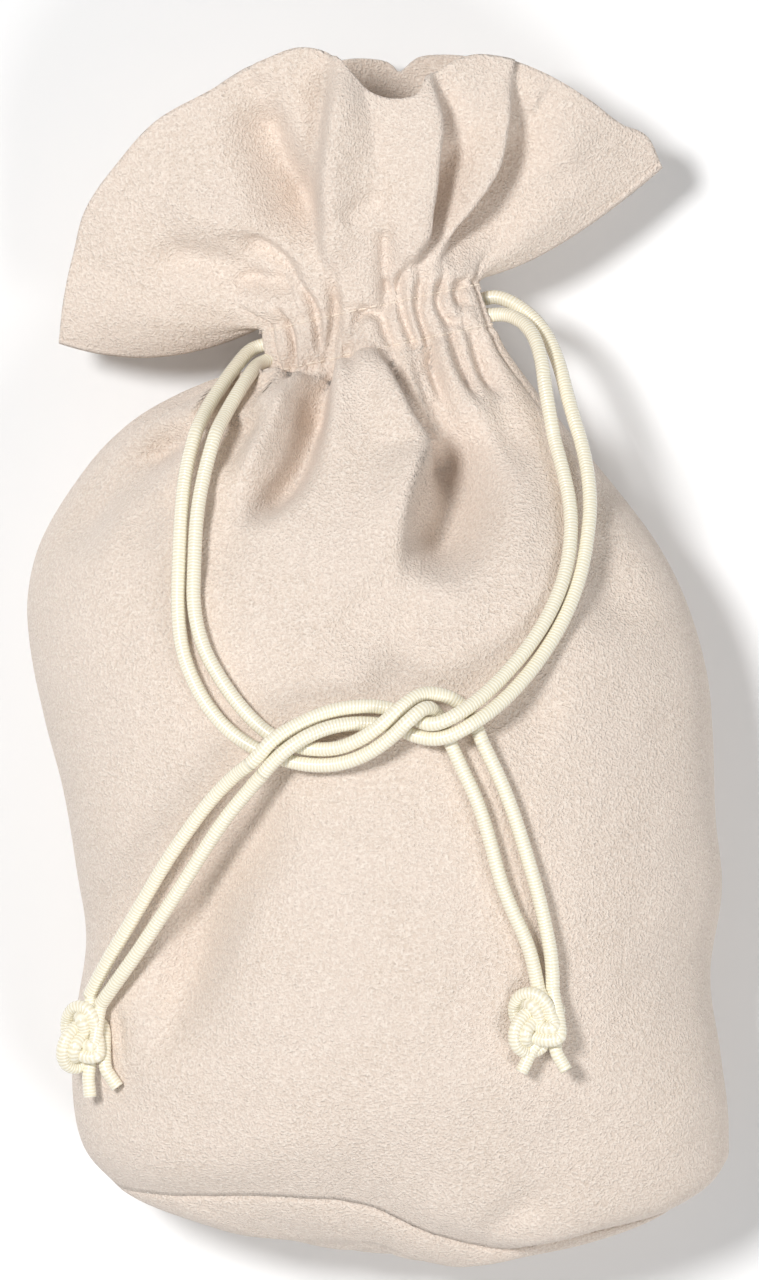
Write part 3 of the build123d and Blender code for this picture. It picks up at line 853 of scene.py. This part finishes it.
def round_base():
    """The base: a round panel sewn to the walls, bulging outwards."""
    rings = []
    for radius in np.linspace(1.0, BASE_SMALLEST, BASE_RINGS):
        ring = base_middle + (base_edge - base_middle) * radius
        ring[:, 1] -= BASE_BULGE * (1 - radius ** BASE_ROUNDING[0]) ** BASE_ROUNDING[1]
        ring += BASE_WAVE * (1 - radius) * np.sin(radius * BASE_WAVE_RADIANS)
        rings.append(ring)
    points = np.array(rings)
    points[..., 2] = np.maximum(points[..., 2], FLOOR_GAP)
    height, waves = BASE_RIPPLES
    wobble = height * ripples(points[..., ::2], *waves)
    points[..., 1] += wobble * (1 - np.linspace(1, 0, BASE_RINGS)[:, None] ** 4)
    columns = len(base_edge)
    faces = grid_faces(BASE_RINGS, columns, closed=True)
    faces.append(tuple(reversed(range((BASE_RINGS - 1) * columns, BASE_RINGS * columns))))
    faces = [tuple(reversed(face)) for face in faces]
    obj = mesh_object("base_cloth", points.reshape(-1, 3), faces)
    thicken(obj, CLOTH)
    return obj


def allowance(name, edge, inward):
    """A seam allowance inside the bag: a strip from an edge inwards."""
    last = ALLOWANCE_ROWS - 1
    rows = np.array([edge + inward * ALLOWANCE_WIDTH * k / last for k in range(ALLOWANCE_ROWS)])
    obj = mesh_object(name, rows.reshape(-1, 3), grid_faces(ALLOWANCE_ROWS, len(edge)))
    thicken(obj, CLOTH, offset=0)
    return obj


def side_allowance(name, column, inward):
    inward = np.array([inward, 0, 0])
    seam = surface[SEAM_ENDS[0]:casing_first - SEAM_ENDS[1], column]
    return allowance(name, seam + ALLOWANCE_INSET * inward, inward)


def base_seam_allowance():
    toward = base_middle - base_edge
    toward /= np.linalg.norm(toward, axis=1)[:, None]
    edge = np.concatenate([base_edge, base_edge[:1]])
    toward = np.concatenate([toward, toward[:1]])
    return allowance("base_allowance", edge + BASE_SEAM_INSET * toward + [0, ALLOWANCE_INSET, 0], toward)


def stitching(name, height):
    """A row of stitching round the casing."""
    row = casing_first + int(np.argmin(np.abs(casing_heights - height)))
    line = surface[row] + normals[row] * THREAD_LIFT
    lengths = lengths_along(line)
    arch = STITCH_ARCH * np.sin(np.linspace(0, math.pi, STITCH_POINTS))[:, None]
    stitches = []
    place = STITCH_START
    while place + STITCH_LENGTH < lengths[-1]:
        points = at_lengths(line, lengths, np.linspace(place, place + STITCH_LENGTH, STITCH_POINTS))
        points += arch * (points - points.mean(axis=0) + [0, 0, 0.1])
        stitches.append(tube("stitch", points, THREAD_RADIUS, sides=6, rounded=2 * THREAD_RADIUS))
        place += STITCH_PITCH
    return joined(name, stitches)


front_cloth = side_of_cloth("front_cloth", 0, FRONT_COLUMNS)
back_cloth = side_of_cloth("back_cloth", FRONT_COLUMNS, FRONT_COLUMNS + BACK_COLUMNS)
casing_lining = lining()
base_edge = surface[0, :-1]
base_middle = base_edge.mean(axis=0)
base_cloth = round_base()
right_allowance = side_allowance("right_allowance", 0, -1.0)
left_allowance = side_allowance("left_allowance", FRONT_COLUMNS, 1.0)
base_allowance = base_seam_allowance()
lower_stitches = stitching("lower_stitches", STITCH_ROWS[0])
upper_stitches = stitching("upper_stitches", STITCH_ROWS[1])

# ---------- cord pieces
cord_pieces = {}
for run, (standing, tail) in cord_lines.items():
    cord_pieces[run] = (
        tube(f"{run}_cord", standing, CORD / 2),
        tube(f"{run}_cord_tail", tail, CORD / 2, tucked=TUCKED_POINTS),
    )
knot_pieces = {}
for name, lines in knot_lines.items():
    tied = [tube("part", line, CORD / 2 * KNOT_CORD) for line in lines]
    knot_pieces[name] = joined(f"{name}_tied", tied)


# ---------- materials
def colour(red, green, blue):
    """A scene colour from a screen's values."""
    def linear(v):
        v /= 255
        return v / 12.92 if v <= 0.04045 else ((v + 0.055) / 1.055) ** 2.4
    return (linear(red), linear(green), linear(blue), 1.0)


CLOTH_SHADE = colour(222, 204, 188)
CLOTH_TONE = colour(235, 218, 204)
CLOTH_CLOUD = colour(231, 214, 200)
CLOTH_SPECKLE = colour(247, 234, 221)
# the cords' cream, with painted shade and painted highlight across their ribs
SATIN_SHADE = colour(238, 228, 199)
SATIN_PAINTED_HIGHLIGHT = colour(253, 249, 234)
THREAD_TONE = colour(240, 227, 212)
FLOOR_TONE = (0.93, 0.93, 0.93, 1)
GRAIN_SCALE = 2000      # of the cloth's noises, from the finest to the broadest
NAP_SCALE = 1100
CLOUD_SCALE = 55
RIB_SCALE = 4.6         # of the satin's ribs, along a cord in centimetres


def material(name, roughness, sheen=0.0, sheen_roughness=0.5):
    mat = bpy.data.materials.new(name)
    mat.use_nodes = True
    shader = mat.node_tree.nodes["Principled BSDF"]
    shader.inputs["Roughness"].default_value = roughness
    shader.inputs["Sheen Weight"].default_value = sheen
    shader.inputs["Sheen Roughness"].default_value = sheen_roughness
    return mat, mat.node_tree.nodes, mat.node_tree.links, shader


def noise(nodes, links, coordinates, scale, detail, roughness):
    node = nodes.new("ShaderNodeTexNoise")
    node.inputs["Scale"].default_value = scale
    node.inputs["Detail"].default_value = detail
    node.inputs["Roughness"].default_value = roughness
    links.new(coordinates, node.inputs["Vector"])
    return node.outputs["Fac"]


def mix_colour(nodes, links, factor, first, second):
    node = nodes.new("ShaderNodeMix")
    node.data_type = "RGBA"
    links.new(factor, node.inputs["Factor"])
    for socket, value in ((node.inputs[6], first), (node.inputs[7], second)):
        if isinstance(value, tuple):
            socket.default_value = value
        else:
            links.new(value, socket)
    return node.outputs[2]


def contrast(nodes, links, value, low, high):
    node = nodes.new("ShaderNodeMapRange")
    node.inputs["From Min"].default_value = low
    node.inputs["From Max"].default_value = high
    links.new(value, node.inputs["Value"])
    return node.outputs["Result"]


def bump(nodes, links, height, strength, distance, normal=None):
    node = nodes.new("ShaderNodeBump")
    node.inputs["Strength"].default_value = strength
    node.inputs["Distance"].default_value = distance
    links.new(height, node.inputs["Height"])
    if normal is not None:
        links.new(normal, node.inputs["Normal"])
    return node.outputs["Normal"]

def plain(name, roughness, tone):
    mat, _, _, shader = material(name, roughness)
    shader.inputs["Base Color"].default_value = tone
    return mat


def brushed_cloth(name):
    mat, nodes, links, shader = material(name, 0.92, sheen=0.25, sheen_roughness=0.55)
    place = nodes.new("ShaderNodeTexCoord").outputs["Object"]
    grain = noise(nodes, links, place, GRAIN_SCALE, 2, 0.5)
    nap = noise(nodes, links, place, NAP_SCALE, 3, 0.6)
    cloud = noise(nodes, links, place, CLOUD_SCALE, 4, 0.55)
    tone = mix_colour(nodes, links, contrast(nodes, links, nap, 0.36, 0.64), CLOTH_SHADE, CLOTH_TONE)
    tone = mix_colour(nodes, links, contrast(nodes, links, cloud, 0.40, 0.62), tone, CLOTH_CLOUD)
    tone = mix_colour(nodes, links, contrast(nodes, links, grain, 0.42, 0.70), tone, CLOTH_SPECKLE)
    links.new(tone, shader.inputs["Base Color"])
    normal = bump(nodes, links, nap, 0.55, 0.0005)
    normal = bump(nodes, links, grain, 1.0, 0.0006, normal)
    links.new(normal, shader.inputs["Normal"])
    return mat


def satin(name):
    mat, nodes, links, shader = material(name, 0.24, sheen=0.2, sheen_roughness=0.3)
    shader.inputs["Coat Weight"].default_value = 0.45
    shader.inputs["Coat Roughness"].default_value = 0.2
    place = nodes.new("ShaderNodeUVMap")
    place.uv_map = "along"
    wave = nodes.new("ShaderNodeTexWave")
    wave.wave_type = "BANDS"
    wave.bands_direction = "Y"
    wave.inputs["Scale"].default_value = RIB_SCALE
    wave.inputs["Distortion"].default_value = 4.0
    wave.inputs["Detail"].default_value = 1.5
    links.new(place.outputs["UV"], wave.inputs["Vector"])
    # the ribs' colour: painted shade in their grooves and painted highlight on their crests, set by the
    # same waves as their bump
    tone = mix_colour(nodes, links, wave.outputs["Fac"], SATIN_SHADE, SATIN_PAINTED_HIGHLIGHT)
    links.new(tone, shader.inputs["Base Color"])
    links.new(bump(nodes, links, wave.outputs["Fac"], 0.4, 0.0002), shader.inputs["Normal"])
    return mat


cloth_material = brushed_cloth("pouch_cloth")
base_material = brushed_cloth("base_cloth")
thread_material = plain("sewing_thread", 0.6, THREAD_TONE)
satin_material = satin("satin_cord")


def dress(obj, mat):
    obj.data.materials.clear()
    obj.data.materials.append(mat)


# ---------- what each piece rides and replaces
for obj in (front_cloth, back_cloth, casing_lining, left_allowance, right_allowance):
    dress(obj, cloth_material)
for obj in (base_cloth, base_allowance):
    dress(obj, base_material)
for obj in (lower_stitches, upper_stitches):
    dress(obj, thread_material)

for obj in (front_cloth, back_cloth, casing_lining):
    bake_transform(obj)
for obj in (base_cloth, left_allowance, right_allowance, base_allowance, lower_stitches, upper_stitches):
    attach(obj, "pouch")
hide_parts("front_panel", "front_casing", "front_header")
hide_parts("back_panel", "back_casing", "back_header")
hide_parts("base_panel")
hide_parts("left_seam_allowance")
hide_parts("right_seam_allowance")
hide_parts("base_seam_allowance")
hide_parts("lower_casing_stitching")
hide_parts("upper_casing_stitching")

for name, mirror, lane in (("left_cord", 1, 1.3), ("right_cord", -1, -2.3)):
    inside_route = INSIDE_HALF + [(x, -z) for x, z in reversed(INSIDE_HALF)]
    route = [neck_point(mirror * x, lane, z) for x, z in inside_route]
    hidden = tube(f"{name}_inside", evenly(spline_line(route), INSIDE_STEP), CORD / 2)
    dress(hidden, satin_material)
    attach(hidden, "pouch")
    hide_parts(f"{name}_in_casing")

for run, (exit_node, loop_node, tail_node, tail_body) in RUNS.items():
    standing, tail = cord_pieces[run]
    standing_line, tail_line = cord_lines[run]
    dress(standing, satin_material)
    dress(tail, satin_material)
    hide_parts(exit_node, loop_node)
    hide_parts(tail_node)
    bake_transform(standing)
    away = tail_line[-1] - tail_line[0]
    away /= np.linalg.norm(away)
    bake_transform(tail)
for name, piece in knot_pieces.items():
    dress(piece, satin_material)
    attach(piece, name.replace("_knot", "_tail"))
    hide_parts(name, name.replace("_knot", "_cut_ends"))

# ---------- floor, lights and camera
floor_data = bpy.data.meshes.new("floor")
floor_data.from_pydata([(-4, -4, 0), (4, -4, 0), (4, 4, 0), (-4, 4, 0)], [], [(0, 1, 2, 3)])
floor = new_object("floor", floor_data)
floor.data.materials.append(plain("floor", 0.9, FLOOR_TONE))

world = bpy.data.worlds.new("studio")
bpy.context.scene.world = world
world.use_nodes = True
world.node_tree.nodes["Background"].inputs["Color"].default_value = (1, 1, 1, 1)
world.node_tree.nodes["Background"].inputs["Strength"].default_value = 0.27


LIGHT_AIM = Vector((0, 0, 0.03))


def area_light(name, place, size, power):
    data = bpy.data.lights.new(name, "AREA")
    data.shape = "DISK"
    data.size = size
    data.energy = power
    light = new_object(name, data)
    light.location = place
    light.rotation_euler = (LIGHT_AIM - Vector(place)).to_track_quat("-Z", "Y").to_euler()


area_light("key", (-0.56, 0.32, 1.52), 0.34, 19.3)
area_light("fill", (0.8, -0.9, 1.3), 0.7, 10.5)

camera_data = bpy.data.cameras.new("camera")
camera_data.sensor_fit = "VERTICAL"
camera_data.sensor_height = 36
camera_data.lens = 300
camera_data.clip_end = 20
camera = new_object("camera", camera_data)
camera.location = (0.0003, 0.0029, 2.28)
bpy.context.scene.camera = camera
bpy.context.scene.view_settings.view_transform = "Standard"
